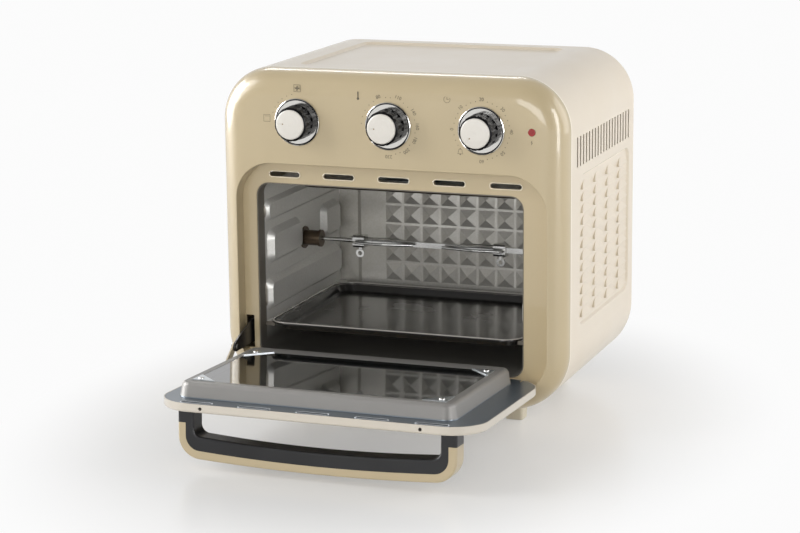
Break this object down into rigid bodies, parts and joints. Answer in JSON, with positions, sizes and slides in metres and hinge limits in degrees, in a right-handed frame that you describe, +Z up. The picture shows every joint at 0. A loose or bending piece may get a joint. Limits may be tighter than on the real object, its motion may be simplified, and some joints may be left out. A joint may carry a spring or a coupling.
{
  "type": "air fryer oven",
  "caption": "Countertop air fryer oven with a rounded painted body, a drop-down glass door with a bow handle, control knobs, a sliding tray and a turning spit.",
  "frame": {"origin": "middle of the footprint box on the surface it stands on, with the door open as stored", "axes": "+Z up, -Y out of the front, +X to the right as seen from the front"},
  "size_m": [0.3412, 0.4521, 0.334],
  "materials": {
    "fascia_paint": "gloss beige-gold enamel",
    "shell_paint": "gloss cream enamel",
    "door_paint": "gloss cream enamel",
    "link_paint": "gloss beige enamel",
    "cream_plastic": "satin moulded",
    "handle_cream": "gloss moulded",
    "black_plastic": "satin moulded",
    "cavity_steel": "satin plated sheet",
    "plain_steel": "plated sheet",
    "bright_steel": "polished",
    "clip_steel": "satin",
    "door_steel": "satin grey coated",
    "dark_steel": "black coated",
    "motor_steel": "laminated",
    "element_tube": "heat tinted",
    "ceramic": "unglazed",
    "bronze": "dull",
    "control_plastic": "moulded",
    "lamp_red": "clear moulded",
    "door_glass": "tempered",
    "tray_enamel": "non-stick coated",
    "knob_chrome": "polished",
    "knob_black": "gloss moulded",
    "knob_white": "satin moulded"
  },
  "bodies": {
    "oven": {"front_fascia": "fascia_paint", "outer_shell": "shell_paint", "base_plate": "shell_paint", "foot_front_left": "cream_plastic", "foot_front_right": "cream_plastic", "foot_rear_left": "cream_plastic", "foot_rear_right": "cream_plastic", "back_cover": "shell_paint", "cord_inlet": "black_plastic", "cavity_liner": "cavity_steel", "cavity_back_wall": "cavity_steel", "upper_element": "element_tube", "lower_element": "element_tube", "element_bushes": "ceramic", "fan_guard": "cavity_steel", "fan_housing": "plain_steel", "fan_motor": "motor_steel", "motor_bracket": "plain_steel", "spit_holder": "bronze", "rotisserie_motor": "plain_steel", "control_bracket": "plain_steel", "function_switch": "control_plastic", "thermostat": "control_plastic", "timer": "control_plastic", "lamp_lens": "lamp_red", "lamp_holder": "control_plastic", "hinge_brackets": "plain_steel", "terminal_block": "ceramic", "body_screws": "bright_steel"},
    "door": {"door_outer_panel": "door_paint", "door_inner_frame": "door_steel", "door_glass": "door_glass", "glass_clips": "clip_steel", "door_screws": "bright_steel", "handle_grip": "black_plastic", "handle_trim": "handle_cream", "hinge_pins": "bright_steel", "link_strap": "link_paint", "link_rivet": "bright_steel"},
    "arm": {"link_arm": "dark_steel"},
    "tray": {"bake_tray": "tray_enamel"},
    "spit": {"spit": "bright_steel", "spit_fork_left": "bright_steel", "spit_fork_right": "bright_steel", "fork_screws": "bright_steel", "drive_socket": "bright_steel"},
    "fan": {"fan_blade": "plain_steel", "fan_shaft": "plain_steel"},
    "function_knob": {"function_shaft": "plain_steel", "function_knob_base": "knob_chrome", "function_knob_grip": "knob_black", "function_knob_cap": "knob_white"},
    "temperature_knob": {"temperature_shaft": "plain_steel", "temperature_knob_base": "knob_chrome", "temperature_knob_grip": "knob_black", "temperature_knob_cap": "knob_white"},
    "timer_knob": {"timer_shaft": "plain_steel", "timer_knob_base": "knob_chrome", "timer_knob_grip": "knob_black", "timer_knob_cap": "knob_white"}
  },
  "joints": [
    {"name": "door_hinge", "type": "hinge", "parent": "oven", "child": "door", "pos_m": [0, -0.03189, 0.04925], "axis": [-1, 0, 0], "range_deg": [0, 87.45]},
    {"name": "arm_pivot", "type": "hinge", "parent": "door", "child": "arm", "pos_m": [-0.148, -0.04994, 0.07107], "axis": [-1, 0, 0], "range_deg": [-87.45, 0]},
    {"name": "tray_slide", "type": "slide", "parent": "oven", "child": "tray", "axis": [0, 1, 0], "range_m": [-0.2, 0]},
    {"name": "spit_turn", "type": "hinge", "parent": "oven", "child": "spit", "pos_m": [0, 0.10175, 0.148], "axis": [1, 0, 0], "continuous": true},
    {"name": "fan_turn", "type": "hinge", "parent": "oven", "child": "fan", "pos_m": [-0.0061, 0.10675, 0.24], "axis": [0, 0, 1], "continuous": true},
    {"name": "function_turn", "type": "hinge", "parent": "oven", "child": "function_knob", "pos_m": [-0.0885, -0.02825, 0.2857], "axis": [0, 1, 0], "range_deg": [0, 85]},
    {"name": "temperature_turn", "type": "hinge", "parent": "oven", "child": "temperature_knob", "pos_m": [0.0015, -0.02825, 0.2857], "axis": [0, 1, 0], "range_deg": [0, 270]},
    {"name": "timer_turn", "type": "hinge", "parent": "oven", "child": "timer_knob", "pos_m": [0.0915, -0.02825, 0.2857], "axis": [0, 1, 0], "range_deg": [0, 313]}
  ],
  "couplings": [
    {"joint": "arm_pivot", "follows": "door_hinge", "ratio": -1}
  ]
}
